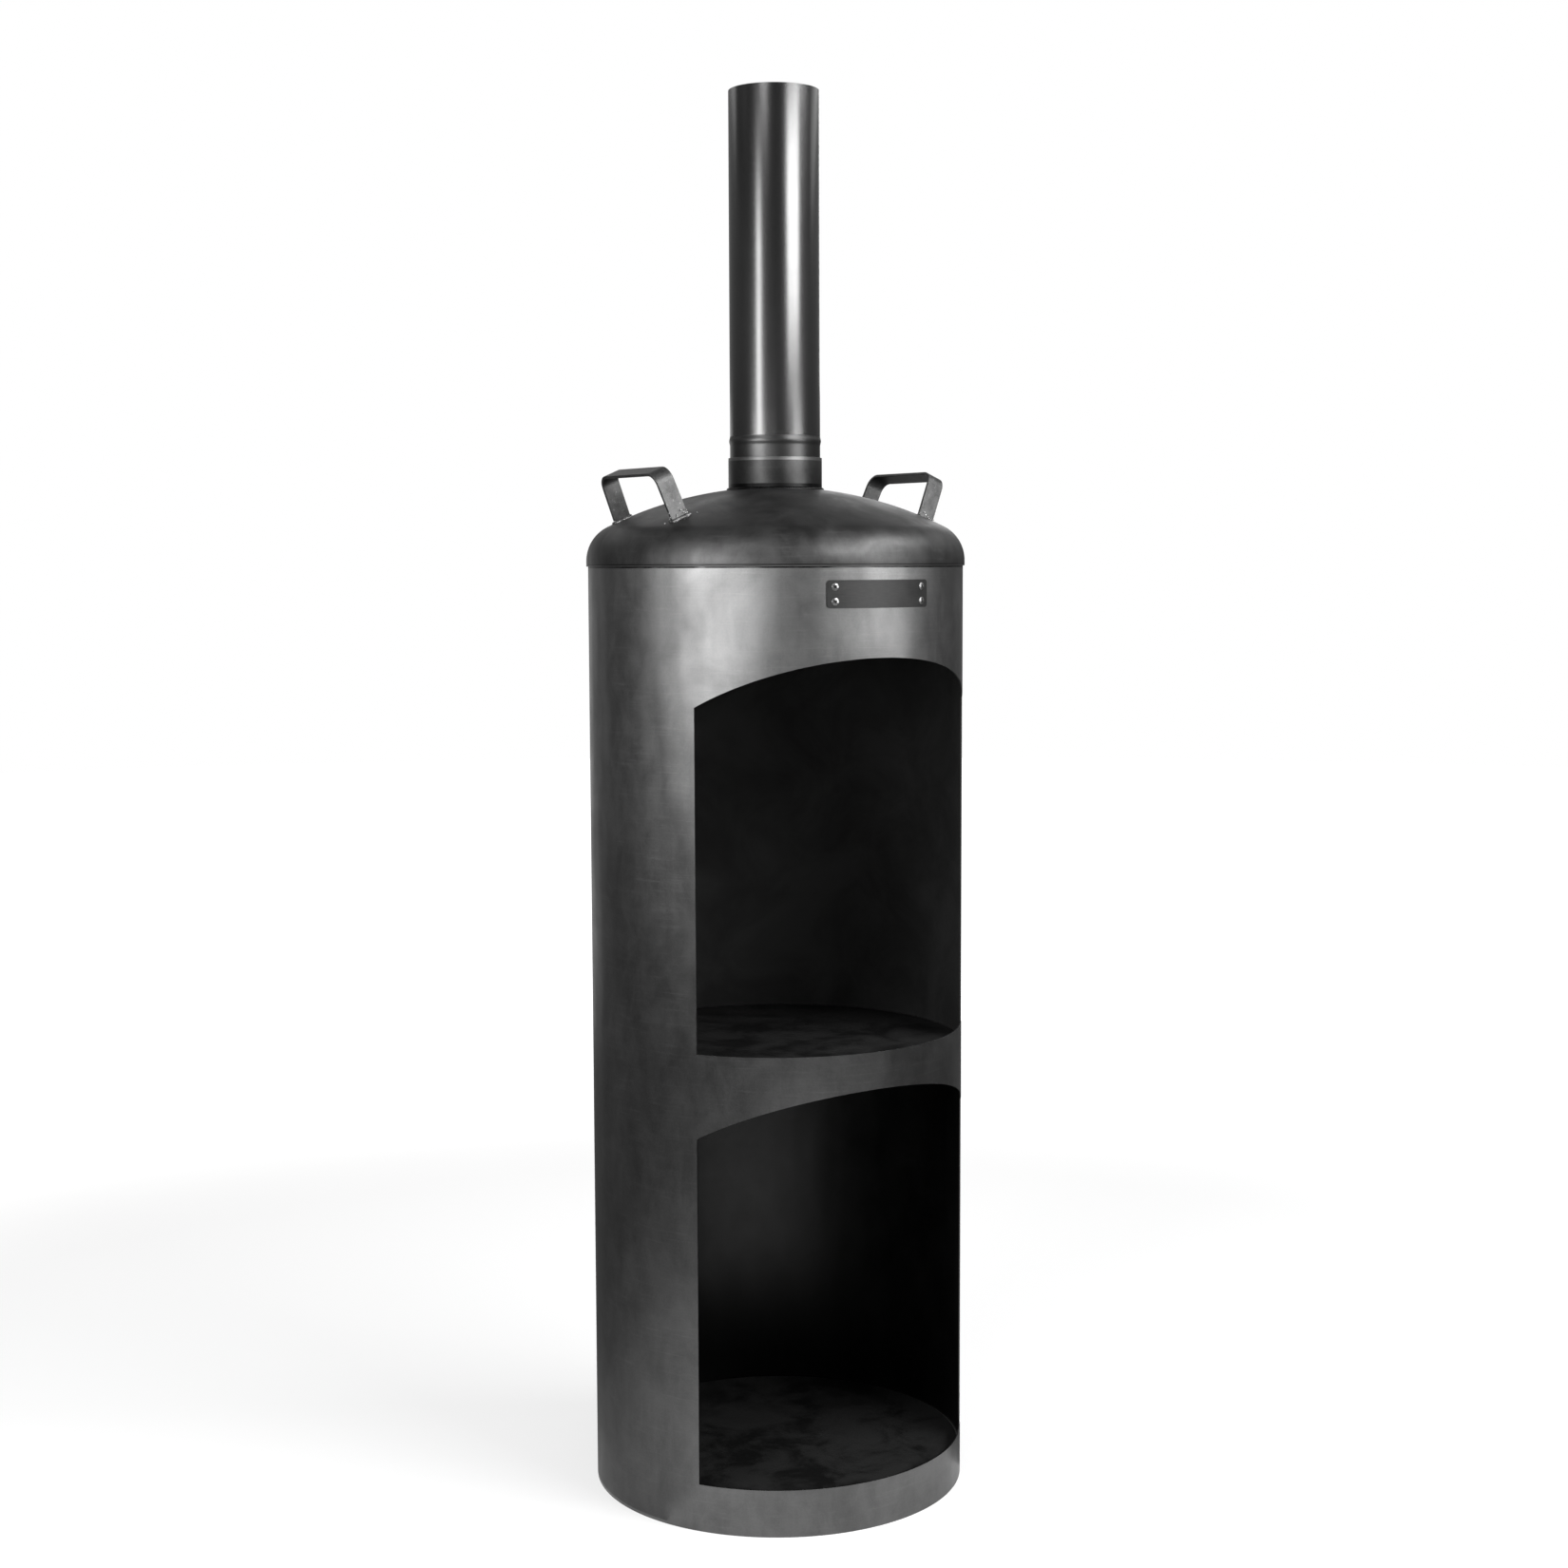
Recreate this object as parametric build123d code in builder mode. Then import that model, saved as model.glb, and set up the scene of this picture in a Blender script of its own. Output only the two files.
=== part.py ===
"""Outdoor wood stove: a rolled steel shell with a fire opening above a log store,
closed by a dished cap that carries two handles, a flue collar and a flue pipe.

Millimetres, +Z up. The origin is on the shell's axis at the ground, and the openings face -Y.
"""

import os
from math import acos, asin, cos, degrees, radians, sin, sqrt, tan

from build123d import *

os.makedirs("parts", exist_ok=True)

# Shell: one sheet, cut flat and rolled to a tube
shell_radius = 250.0          # outside
shell_height = 1252.0
shell_sheet = 2.0
seam_gap = 1.5                # butt gap at the back that the seam weld fills
seam_bead_width = 5.0
seam_bead_height = 1.0        # ground flush above the stop, where the cap slips over
seam_bead_stop = 4.0          # below the cap's lip

# Openings: straight sides and sill, and an arched top that is an arc in the flat sheet
opening_half_angle = 56.6     # from the front, to each side
arch_radius = 530.0
fire_head = 114.67            # sheet left above the fire opening, down from the cap's lip
fire_sill = 624.0
opening_band = 48.0           # sheet left between the two openings, at the front
store_sill = 62.0

# Hearth and store floor, each a loose round plate on four angle lugs
hearth_drop = 24.0            # below the sill of the fire opening
hearth_thickness = 4.0
floor_drop = 22.0             # below the sill of the log store
floor_thickness = 2.0
floor_edge_gap = 2.0          # between a round plate and the shell
lug_count = 4
lug_first_angle = 45.0        # from the front
lug_leg = 30.0
lug_thickness = 4.0
lug_length = 40.0

# Cap: a dished end with a short straight skirt that slips over the shell's rim
cap_sheet = 2.0
cap_slip = 0.3                # radial gap between skirt and shell
cap_skirt = 7.0
cap_knuckle_radius = 50.4     # outside
cap_crown_radius = 504.0      # outside
outer_knuckle_chords = 7      # straight steps that stand for the arc, within 0.2 of it
inner_knuckle_chords = 4      # inside, above the circle that sits on the shell
flue_hole_radius = 55.0
seat_clearance = 0.05         # under pieces that stand on another and lift off

# Flue pipe and the collar it stands in
pipe_radius = 60.0            # outside
pipe_wall = 1.5
pipe_length = 520.0
bead_from_end = 63.5
bead_half_width = 4.5
bead_height = 1.1
collar_slip = 0.3             # radial gap between pipe and collar
collar_wall = 2.0
collar_height = 42.0          # above the crown, at the collar's outside
collar_weld_leg = 3.0

# Handles: flat bar bent to a U, standing square to the crown
bar_width = 25.0
bar_thickness = 4.0
handle_foot_span = 154.0      # outside, at the crown
handle_top_span = 146.0       # outside, at the grip
handle_height = 60.0          # outside, along the legs
handle_inset = 59.3           # from the cap's outside to the middle of the bar, at the crown
handle_bend = 14.0            # inside radius
handle_weld_leg = 3.0

# Name plate and its blind rivets
plate_length = 155.0          # along the curve
plate_height = 35.0
plate_thickness = 1.0
plate_corner = 4.5
plate_gap = 0.05              # left between the curved plate and the shell
plate_drop = 34.67            # from the cap's lip down to the plate's middle
rivet_span = 133.0            # along the curve
rivet_rise = 18.3
rivet_shank_radius = 2.4
rivet_hole_radius = 2.45
rivet_head_radius = 4.75
rivet_head_height = 1.15
rivet_tail = 4.5              # length standing inside the shell

# Worked out from the above
shell_bore = shell_radius - shell_sheet
cap_radius = shell_radius + cap_slip + cap_sheet
knuckle_inside = cap_knuckle_radius - cap_sheet
rim_rise = sqrt(knuckle_inside**2 - (knuckle_inside - cap_slip) ** 2)
cap_tangent = shell_height - rim_rise + seat_clearance
cap_lip = cap_tangent - cap_skirt
crown_angle = degrees(asin((cap_radius - cap_knuckle_radius) / (cap_crown_radius - cap_knuckle_radius)))
crown_centre = cap_tangent - (cap_crown_radius - cap_knuckle_radius) * cos(radians(crown_angle))
fire_apex = cap_lip - fire_head
store_apex = fire_sill - opening_band
hearth_top = fire_sill - hearth_drop
floor_top = store_sill - floor_drop
collar_bore = pipe_radius + collar_slip
collar_radius = collar_bore + collar_wall
handle_offset = cap_radius - handle_inset
plate_bore = shell_radius + plate_gap
plate_radius = plate_bore + plate_thickness
plate_middle = cap_lip - plate_drop


def crown_height(radius):
    """Height of the crown's outer surface at a distance from the axis."""
    return crown_centre + sqrt(cap_crown_radius**2 - radius**2)


pipe_foot = crown_height(pipe_radius - pipe_wall) + seat_clearance
collar_top = crown_height(collar_radius) + collar_height


def front_plane(radius, angle, height):
    """A plane on the round shell, its normal pointing straight out of the surface."""
    outward = Vector(sin(radians(angle)), -cos(radians(angle)), 0)
    return Plane(origin=outward * radius + Vector(0, 0, height), x_dir=(0, 0, 1), z_dir=outward)


def save(piece, name):
    """Label a finished piece and write it to its own file."""
    piece.part.label = name
    export_step(piece.part, f"parts/{name}.step")


# ---- Shell ----


def arch_point(angle, apex):
    """Front-view point of the arched edge, an arc in the flat sheet, once the sheet is rolled."""
    along_sheet = shell_radius * radians(angle)
    rise = apex - arch_radius + sqrt(arch_radius**2 - along_sheet**2)
    return shell_radius * sin(radians(angle)), rise


def opening_cutter(sill, apex):
    """The space that one arched opening takes out of the rolled sheet."""
    reach = 1.2 * shell_radius
    edge_angle = opening_half_angle + 3
    with BuildPart() as cutter:
        with BuildSketch(Plane.XZ):
            with BuildLine():
                steps = [edge_angle * step / 4 for step in range(-4, 5)]
                arch = Spline(*[arch_point(angle, apex) for angle in steps])
                Polyline(arch @ 1, ((arch @ 1).X, sill), ((arch @ 0).X, sill), arch @ 0)
            make_face()
        extrude(amount=reach)
        with BuildSketch(Plane.XY.offset(sill)):
            half_width = reach * tan(radians(opening_half_angle))
            with BuildLine():
                Polyline((0, 0), (half_width, -reach), (-half_width, -reach), close=True)
            make_face()
        extrude(amount=apex - sill + 1, mode=Mode.INTERSECT)
    return cutter.part


rivet_half_angle = degrees(rivet_span / 2 / plate_radius)
rivet_planes = [
    front_plane(plate_radius, side * rivet_half_angle, plate_middle + row * rivet_rise / 2)
    for side in (-1, 1)
    for row in (-1, 1)
]

with BuildPart() as body_shell:
    with BuildSketch():
        Circle(shell_radius)
        Circle(shell_bore, mode=Mode.SUBTRACT)
        with Locations((0, shell_radius)):
            Rectangle(seam_gap, 4 * shell_sheet, mode=Mode.SUBTRACT)
    extrude(amount=shell_height)
    add(opening_cutter(fire_sill, fire_apex), mode=Mode.SUBTRACT)
    add(opening_cutter(store_sill, store_apex), mode=Mode.SUBTRACT)
    with Locations(*rivet_planes):
        Hole(rivet_hole_radius, depth=3 * (shell_sheet + plate_thickness))
save(body_shell, "body_shell")

with BuildPart() as shell_seam_weld:
    with BuildSketch():
        with Locations((0, shell_radius - shell_sheet / 2)):
            Rectangle(seam_gap, 2 * shell_sheet)
        Circle(shell_radius, mode=Mode.INTERSECT)
        Circle(shell_bore, mode=Mode.SUBTRACT)
    extrude(amount=shell_height)
    with BuildSketch():
        with BuildLine():
            crown = ThreePointArc(
                (seam_bead_width / 2, shell_radius - shell_sheet / 2),
                (0, shell_radius + seam_bead_height),
                (-seam_bead_width / 2, shell_radius - shell_sheet / 2),
            )
            Line(crown @ 1, crown @ 0)
        make_face()
    extrude(amount=cap_lip - seam_bead_stop)
    add(body_shell.part, mode=Mode.SUBTRACT)
save(shell_seam_weld, "shell_seam_weld")

# ---- Hearth, store floor and their lugs ----


def round_floor(top, thickness):
    """A flat round plate inside the shell, its upper face at the given height."""
    with BuildPart() as floor:
        with BuildSketch(Plane.XY.offset(top - thickness)):
            Circle(shell_bore - floor_edge_gap)
        extrude(amount=thickness)
    return floor


def angle_lug(index, seat):
    """One length of angle on the shell's inside, its flat leg holding a plate up at the seat."""
    back = sqrt(shell_bore**2 - (lug_length / 2) ** 2)
    wall = front_plane(0, lug_first_angle + 360 / lug_count * index, seat)
    side = Plane(origin=wall.origin, x_dir=wall.z_dir, z_dir=wall.z_dir.cross(wall.x_dir))
    with BuildPart() as lug:
        with BuildSketch(side):
            with BuildLine():
                Polyline(
                    (back, 0),
                    (back - lug_leg, 0),
                    (back - lug_leg, -lug_thickness),
                    (back - lug_thickness, -lug_thickness),
                    (back - lug_thickness, -lug_leg),
                    (back, -lug_leg),
                    close=True,
                )
            make_face()
        extrude(amount=lug_length / 2, both=True)
    return lug


hearth_plate = round_floor(hearth_top, hearth_thickness)
save(hearth_plate, "hearth_plate")

store_floor = round_floor(floor_top, floor_thickness)
save(store_floor, "store_floor")

for index in range(lug_count):
    save(angle_lug(index, hearth_top - hearth_thickness), f"hearth_lug_{index + 1}")
    save(angle_lug(index, floor_top - floor_thickness), f"floor_lug_{index + 1}")

# ---- Cap ----


def knuckle_point(inset, angle):
    """Half-section point of the knuckle, this far inside its outer face, up from the skirt."""
    reach = cap_knuckle_radius - inset
    middle = cap_radius - cap_knuckle_radius
    return middle + reach * cos(radians(angle)), cap_tangent + reach * sin(radians(angle))


knuckle_sweep = 90 - crown_angle
seat_angle = degrees(acos(1 - cap_slip / knuckle_inside))
outer_step = knuckle_sweep / outer_knuckle_chords
inner_step = (knuckle_sweep - seat_angle) / inner_knuckle_chords
cap_outside = [knuckle_point(0, outer_step * step) for step in range(outer_knuckle_chords + 1)]
cap_inside = [knuckle_point(cap_sheet, seat_angle + inner_step * step) for step in range(inner_knuckle_chords + 1)]

with BuildPart() as dome_cap:
    with BuildSketch(Plane.XZ):
        with BuildLine():
            Polyline(
                (cap_radius, cap_lip),
                *cap_outside,
                *reversed(cap_inside),
                knuckle_point(cap_sheet, 0),
                (cap_radius - cap_sheet, cap_lip),
                close=True,
            )
        make_face()
    revolve(axis=Axis.Z)
    with BuildPart(mode=Mode.PRIVATE) as crown_sheet:
        with Locations((0, 0, crown_centre)):
            Sphere(cap_crown_radius, rotation=(90, 0, 0))
            Sphere(cap_crown_radius - cap_sheet, rotation=(90, 0, 0), mode=Mode.SUBTRACT)
            Cone(
                0,
                2 * cap_crown_radius * tan(radians(crown_angle)),
                2 * cap_crown_radius,
                align=(Align.CENTER, Align.CENTER, Align.MIN),
                mode=Mode.INTERSECT,
            )
            Cylinder(flue_hole_radius, 3 * cap_crown_radius, mode=Mode.SUBTRACT)
    add(crown_sheet.part)
save(dome_cap, "dome_cap")

# Everything that stands on the crown is cut to it with this solid ball
with BuildPart() as crown_ball:
    with Locations((0, 0, crown_centre)):
        Sphere(cap_crown_radius, rotation=(90, 0, 0))

# ---- Flue collar and pipe ----

with BuildPart() as flue_collar:
    with BuildSketch(Plane.XY.offset(collar_top)):
        Circle(collar_radius)
        Circle(collar_bore, mode=Mode.SUBTRACT)
    extrude(amount=-2 * collar_height)
    with BuildSketch(Plane.XZ):
        weld_top = crown_height(collar_radius) + collar_weld_leg
        weld_toe = crown_height(collar_radius + collar_weld_leg)
        with BuildLine():
            Polyline(
                (collar_radius, weld_top),
                (collar_radius + collar_weld_leg, weld_toe),
                (collar_radius, weld_toe - collar_weld_leg),
                close=True,
            )
        make_face()
    revolve(axis=Axis.Z)
    add(crown_ball.part, mode=Mode.SUBTRACT)
save(flue_collar, "flue_collar")


def pipe_side(radius):
    """Half-section points of one face of the pipe, with the bead rolled into it."""
    bead_middle = pipe_foot + bead_from_end
    return [
        (radius, pipe_foot),
        (radius, bead_middle - bead_half_width),
        (radius + bead_height, bead_middle),
        (radius, bead_middle + bead_half_width),
        (radius, pipe_foot + pipe_length),
    ]


with BuildPart() as flue_pipe:
    with BuildSketch(Plane.XZ):
        with BuildLine():
            Polyline(*pipe_side(pipe_radius), *reversed(pipe_side(pipe_radius - pipe_wall)), close=True)
        make_face()
    revolve(axis=Axis.Z)
save(flue_pipe, "flue_pipe")

# ---- Handles ----

handle_lean = degrees(asin(handle_offset / cap_crown_radius))


def handle_plane(side):
    """The plane a handle is bent in: across the stove, square to the crown. side is 1 or -1."""
    up = Vector(side * sin(radians(handle_lean)), 0, cos(radians(handle_lean)))
    foot = Vector(side * handle_offset, 0, crown_height(handle_offset))
    across = Vector(0, 1, 0)
    return Plane(origin=foot, x_dir=across, z_dir=across.cross(up))


def bar_handle(side):
    """A flat bar bent to a U, its feet cut to the crown."""
    foot_x = (handle_foot_span - bar_thickness) / 2
    grip_x = (handle_top_span - bar_thickness) / 2
    grip_y = handle_height - bar_thickness / 2
    spread = (foot_x - grip_x) / grip_y
    buried = bar_width
    with BuildPart() as handle:
        with BuildSketch(handle_plane(side)):
            with BuildLine():
                FilletPolyline(
                    (-foot_x - spread * buried, -buried),
                    (-grip_x, grip_y),
                    (grip_x, grip_y),
                    (foot_x + spread * buried, -buried),
                    radius=handle_bend + bar_thickness / 2,
                )
            trace(line_width=bar_thickness)
        extrude(amount=bar_width / 2, both=True)
        add(crown_ball.part, mode=Mode.SUBTRACT)
    return handle


def handle_welds(side, handle):
    """Fillet beads round both feet of a handle."""
    plane = handle_plane(side)
    foot_x = (handle_foot_span - bar_thickness) / 2
    with BuildPart() as welds:
        for end in (-1, 1):
            place = plane.from_local_coords((end * foot_x, 0, 0))
            spot = Vector(place.X, place.Y, crown_height(sqrt(place.X**2 + place.Y**2)))
            square = spot - Vector(0, 0, crown_centre)
            foot = Plane(origin=spot, x_dir=square.cross(plane.z_dir), z_dir=square)
            with BuildSketch(foot.offset(-handle_weld_leg)):
                Rectangle(bar_thickness + 4 * handle_weld_leg, bar_width + 4 * handle_weld_leg)
            extrude(amount=2 * handle_weld_leg, taper=45)
        add(handle.part, mode=Mode.SUBTRACT)
        add(crown_ball.part, mode=Mode.SUBTRACT)
    return welds


for side, name in ((-1, "handle_left"), (1, "handle_right")):
    handle = bar_handle(side)
    save(handle, name)
    save(handle_welds(side, handle), f"{name}_welds")

# ---- Name plate and rivets ----

with BuildPart() as name_plate:
    with BuildSketch(Plane.XZ):
        chord = 2 * plate_radius * sin(plate_length / 2 / plate_radius)
        with Locations((0, plate_middle)):
            RectangleRounded(chord, plate_height, plate_corner)
    extrude(amount=2 * plate_radius)
    with BuildSketch(Plane.XY.offset(plate_middle - plate_height)):
        Circle(plate_radius)
        Circle(plate_bore, mode=Mode.SUBTRACT)
    extrude(amount=2 * plate_height, mode=Mode.INTERSECT)
    with Locations(*rivet_planes):
        Hole(rivet_hole_radius, depth=3 * plate_thickness)
save(name_plate, "name_plate")

with BuildPart() as plate_rivets:
    with Locations(*rivet_planes):
        Cylinder(rivet_head_radius, rivet_head_height, align=(Align.CENTER, Align.CENTER, Align.MIN))
        Cylinder(
            rivet_shank_radius,
            plate_radius - shell_bore + rivet_tail,
            align=(Align.CENTER, Align.CENTER, Align.MAX),
        )
save(plate_rivets, "plate_rivets")
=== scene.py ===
"""Looks of the outdoor wood stove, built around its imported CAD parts, in metres."""

import random
from math import acos, asin, atan2, cos, pi, radians, sin, sqrt, tan

import bmesh
import bpy
from mathutils import Matrix, Vector


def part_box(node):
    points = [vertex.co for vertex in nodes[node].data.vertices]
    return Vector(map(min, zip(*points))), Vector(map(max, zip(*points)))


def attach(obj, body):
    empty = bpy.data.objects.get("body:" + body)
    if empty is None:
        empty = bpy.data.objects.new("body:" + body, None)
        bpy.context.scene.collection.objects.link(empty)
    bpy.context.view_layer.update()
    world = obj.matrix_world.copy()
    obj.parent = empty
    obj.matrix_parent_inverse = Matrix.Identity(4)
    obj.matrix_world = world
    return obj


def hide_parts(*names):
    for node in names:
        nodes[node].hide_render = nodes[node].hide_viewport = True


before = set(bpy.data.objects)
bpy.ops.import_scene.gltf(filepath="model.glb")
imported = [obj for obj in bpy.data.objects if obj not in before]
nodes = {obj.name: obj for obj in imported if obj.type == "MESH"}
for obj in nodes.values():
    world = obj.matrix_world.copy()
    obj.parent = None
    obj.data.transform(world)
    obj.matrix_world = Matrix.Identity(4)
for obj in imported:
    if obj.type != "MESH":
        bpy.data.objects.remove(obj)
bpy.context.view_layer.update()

# ---- Studio ----
# A white paper floor fades into a white background. Seven soft boxes light the stove from
# the left, the right and the front, and cloth in several greys hangs round and over it for
# its steel to mirror: paler behind the stove, and brightest a little above its top.

CAMERA_SPOT = Vector((-1.71296, -2.70646, 1.24481))
CAMERA_HEADING = 32.516       # degrees from +Y towards +X
CAMERA_DIP = 5.3155           # degrees below level
CAMERA_ROLL = -0.1977         # degrees
LENS = 54.742                 # mm
SENSOR = 36                   # mm

camera_data = bpy.data.cameras.new("camera")
camera_data.lens = LENS
camera_data.sensor_width = SENSOR
camera = bpy.data.objects.new("camera", camera_data)
camera.matrix_world = (
    Matrix.Translation(CAMERA_SPOT)
    @ Matrix.Rotation(-radians(CAMERA_HEADING), 4, "Z")
    @ Matrix.Rotation(radians(90 - CAMERA_DIP), 4, "X")
    @ Matrix.Rotation(radians(CAMERA_ROLL), 4, "Z")
)
bpy.context.scene.collection.objects.link(camera)
bpy.context.scene.camera = camera
bpy.context.scene.view_settings.view_transform = "Standard"

# Sockets of a Mix node that mixes colours: its share, its two colours and its result.
MIX_SHARE, MIX_FIRST, MIX_SECOND, MIX_RESULT = 0, 6, 7, 2


class Finish:
    """A material under construction; node() is the one way its shader nodes are made."""

    def __init__(self, name):
        self.material = bpy.data.materials.new(name)
        self.material.use_nodes = True
        self.tree = self.material.node_tree
        self.tree.nodes.clear()
        self.place = self.node("TexCoord", out="Object")

    def node(self, kind, settings=None, values=None, out=0):
        """Adds a node. A value for one of its sockets is a number, a colour or a Term."""
        made = self.tree.nodes.new("ShaderNode" + kind)
        for key, setting in (settings or {}).items():
            setattr(made, key, setting)
        for key, value in (values or {}).items():
            if isinstance(value, Term):
                self.tree.links.new(value.socket, made.inputs[key])
            else:
                made.inputs[key].default_value = value
        return Term(self, made.outputs[out]) if len(made.outputs) else made

    def noise(self, scale, detail, rough, stretch=None, distortion=0.0):
        """Noise on the piece's own coordinates, each multiplied by its part of stretch first."""
        where = self.place
        if stretch:
            where = self.node("Mapping", values={"Vector": where, "Scale": stretch})
        values = {"Vector": where, "Scale": scale, "Detail": detail, "Roughness": rough}
        return self.node("TexNoise", values={**values, "Distortion": distortion})

    def tint(self, share, first, second):
        """A colour between two others, each a grey level or a Term; share 0 gives the first."""
        values = {MIX_SHARE: share}
        for socket, colour in ((MIX_FIRST, first), (MIX_SECOND, second)):
            values[socket] = colour if isinstance(colour, Term) else (colour, colour, colour, 1)
        return self.node("Mix", {"data_type": "RGBA"}, values, out=MIX_RESULT)

    def bump(self, strength, distance, height, under=None):
        """Relief, laid over another relief if there is one under it."""
        values = {"Strength": strength, "Distance": distance, "Height": height}
        if under:
            values["Normal"] = under
        return self.node("Bump", values=values)

    def metal(self, values):
        """The finished material: bare metal with these values for its sockets."""
        return self.surface(self.node("BsdfPrincipled", values={"Metallic": 1.0, **values}))

    def surface(self, shader):
        """The finished material, which shows this shader."""
        self.node("OutputMaterial", values={"Surface": shader})
        return self.material


class Term:
    """An output socket of a shader node, so that sums on it are plain expressions."""

    def __init__(self, finish, socket):
        self.finish = finish
        self.socket = socket

    def maths(self, operation, *values):
        return self.finish.node("Math", {"operation": operation}, dict(enumerate(values)))

    def __add__(self, other):
        return self.maths("ADD", self, other)

    def __sub__(self, other):
        return self.maths("SUBTRACT", self, other)

    def __rsub__(self, other):
        return self.maths("SUBTRACT", other, self)

    def __mul__(self, other):
        return self.maths("MULTIPLY", self, other)

    __radd__ = __add__
    __rmul__ = __mul__

    def swing(self, amount):
        """Noise round 0 instead of round its middle of 0.5, times this amount."""
        return (self - 0.5) * amount

    def step(self, low, high):
        """0 below low, 1 above high, and smooth between them."""
        values = {"Value": self, "From Min": low, "From Max": high}
        return self.finish.node("MapRange", {"interpolation_type": "SMOOTHSTEP"}, values)


def new_piece(name, form, smooth_to=30):
    """A finished bmesh as an object at the origin, smooth but for edges sharper than smooth_to."""
    mesh = bpy.data.meshes.new(name)
    form.to_mesh(mesh)
    form.free()
    mesh.shade_smooth()
    mesh.set_sharp_from_angle(angle=radians(smooth_to))
    piece = bpy.data.objects.new(name, mesh)
    bpy.context.scene.collection.objects.link(piece)
    return piece


def hide_from(piece, *rays):
    """Hides a piece from these kinds of ray."""
    for ray in rays:
        setattr(piece, "visible_" + ray, False)


def seen_rays(node):
    """1 for a ray that shows the surroundings as they are: from the camera, a gloss or a glass."""
    names = ("Is Camera Ray", "Is Glossy Ray", "Is Transmission Ray")
    from_camera, from_gloss, from_glass = (node("LightPath", out=name) for name in names)
    total = from_camera + from_gloss + from_glass
    return total.maths("MINIMUM", total, 1.0)


class WorldFinish(Finish):
    """The world's shader under construction."""

    def __init__(self, world):
        world.use_nodes = True
        self.tree = world.node_tree
        self.tree.nodes.clear()


WHITE = (1, 1, 1, 1)
WORLD_LEVEL = 0.55            # what the surroundings give to matt surfaces

world = bpy.data.worlds.new("studio")
bpy.context.scene.world = world
sky = WorldFinish(world)
level = seen_rays(sky.node) * (1 - WORLD_LEVEL) + WORLD_LEVEL
background = sky.node("Background", values={"Color": WHITE, "Strength": level})
sky.node("OutputWorld", values={"Surface": background})

FLOOR_REACH = 12.0
FLOOR_PLAIN = (0.8, 0.8, 0.8, 1)        # the paper as the light on the stove finds it
FLOOR_LIT = (0.45, 0.45, 0.45, 1)       # the share of its white that the lamps have to light
FLOOR_GLOW = 0.49             # and the share that no shadow takes away
PAPER_START = 1.6             # from here out the paper fades
PAPER_END = 3.2               # into the background by here

form = bmesh.new()
bmesh.ops.create_circle(form, cap_ends=True, segments=96, radius=FLOOR_REACH)
floor = new_piece("floor", form)
paper = Finish("white_paper")
reach = paper.node("VectorMath", {"operation": "LENGTH"}, {0: paper.place}, out="Value")
fading = reach.step(PAPER_START, PAPER_END) * (1 - FLOOR_GLOW) + FLOOR_GLOW
glow = paper.node("Emission", values={"Color": fading})
lit = paper.node("BsdfDiffuse", values={"Color": FLOOR_LIT})
plain = paper.node("BsdfDiffuse", values={"Color": FLOOR_PLAIN})
both = paper.node("AddShader", values={0: glow, 1: lit})
shown = paper.node("MixShader", values={0: seen_rays(paper.node), 1: plain, 2: both})
floor.data.materials.append(paper.surface(shown))


def around(azimuth, distance, height):
    """A spot in the studio. The azimuth starts at the camera and grows to the camera's right."""
    heading = atan2(CAMERA_SPOT.y, CAMERA_SPOT.x) + radians(azimuth)
    return Vector((distance * cos(heading), distance * sin(heading), height))


def soft_box(name, azimuth, distance, height, width, tall, power, aim=None):
    """An area lamp turned to the stove's axis, at the height aim or else at its own."""
    lamp = bpy.data.lights.new(name, "AREA")
    lamp.shape = "RECTANGLE"
    lamp.size = width
    lamp.size_y = tall
    lamp.energy = power
    piece = bpy.data.objects.new(name, lamp)
    spot = around(azimuth, distance, height)
    target = Vector((0, 0, height if aim is None else aim))
    turn = (target - spot).to_track_quat("-Z", "Y").to_matrix()
    piece.matrix_world = Matrix.Translation(spot) @ turn.to_4x4()
    hide_from(piece, "camera")
    bpy.context.scene.collection.objects.link(piece)


soft_box("left_low_soft_box", -41, 2.6, height=1.24, width=1.5, tall=0.67, power=35)
soft_box("left_high_soft_box", -40, 2.6, height=2.1, width=0.55, tall=1.0, power=20)
soft_box("left_top_soft_box", -27, 3.3, height=4.05, width=1.15, tall=0.75, power=36, aim=1.3)
soft_box("right_low_soft_box", 59, 2.4, height=1.30, width=1.1, tall=0.54, power=22)
soft_box("right_high_soft_box", 49, 2.6, height=2.5, width=1.5, tall=0.9, power=56, aim=1.9)
soft_box("right_top_soft_box", 80, 3.3, height=4.0, width=1.8, tall=0.75, power=100, aim=1.3)
soft_box("front_soft_box", -10, 3.2, height=1.18, width=1.2, tall=0.3, power=8)

CLOTH_MIDDLE = around(25, 1.3, 0)
CLOTH_START = 1.2             # from its middle to the nearest cloth on the floor
CLOTH_REACH = 4.6             # and to the cloth that hangs
CLOTH_FOOT = 0.004            # clear of the paper
CLOTH_SPLIT = 1.7             # the height where the low cloth meets the high one
CLOTH_CREST = 2.85            # where the high one meets the crest
CLOTH_TURN = 3.3              # where the roof begins
CLOTH_TOP = 4.6               # and where it turns level
CLOTH_STEPS = 48
ROOF_END = 0.05               # from the middle
SHOULDER_REACH = CLOTH_REACH - 0.05     # a strip in front of the rest, behind the stove's top
SHOULDER_LOW = 1.75
SHOULDER_HIGH = 2.80
CLOTH_LEVEL = 0.12            # how bright each cloth is
HIGH_LEVEL = 0.25
SHOULDER_LEVEL = 2.4
PALE_LEVEL = 0.80             # low, behind the stove
CREST_LEVEL = 1.6             # behind it, over its top
ROOF_LEVEL = 0.30             # above it, behind its middle
LIT_LEVEL = 0.66              # what the light adds to cloth that lies near this spot
LIT_SPOT = around(-34, 0.85, 0)
LIT_START = 0.2
LIT_END = 1.15


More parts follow.
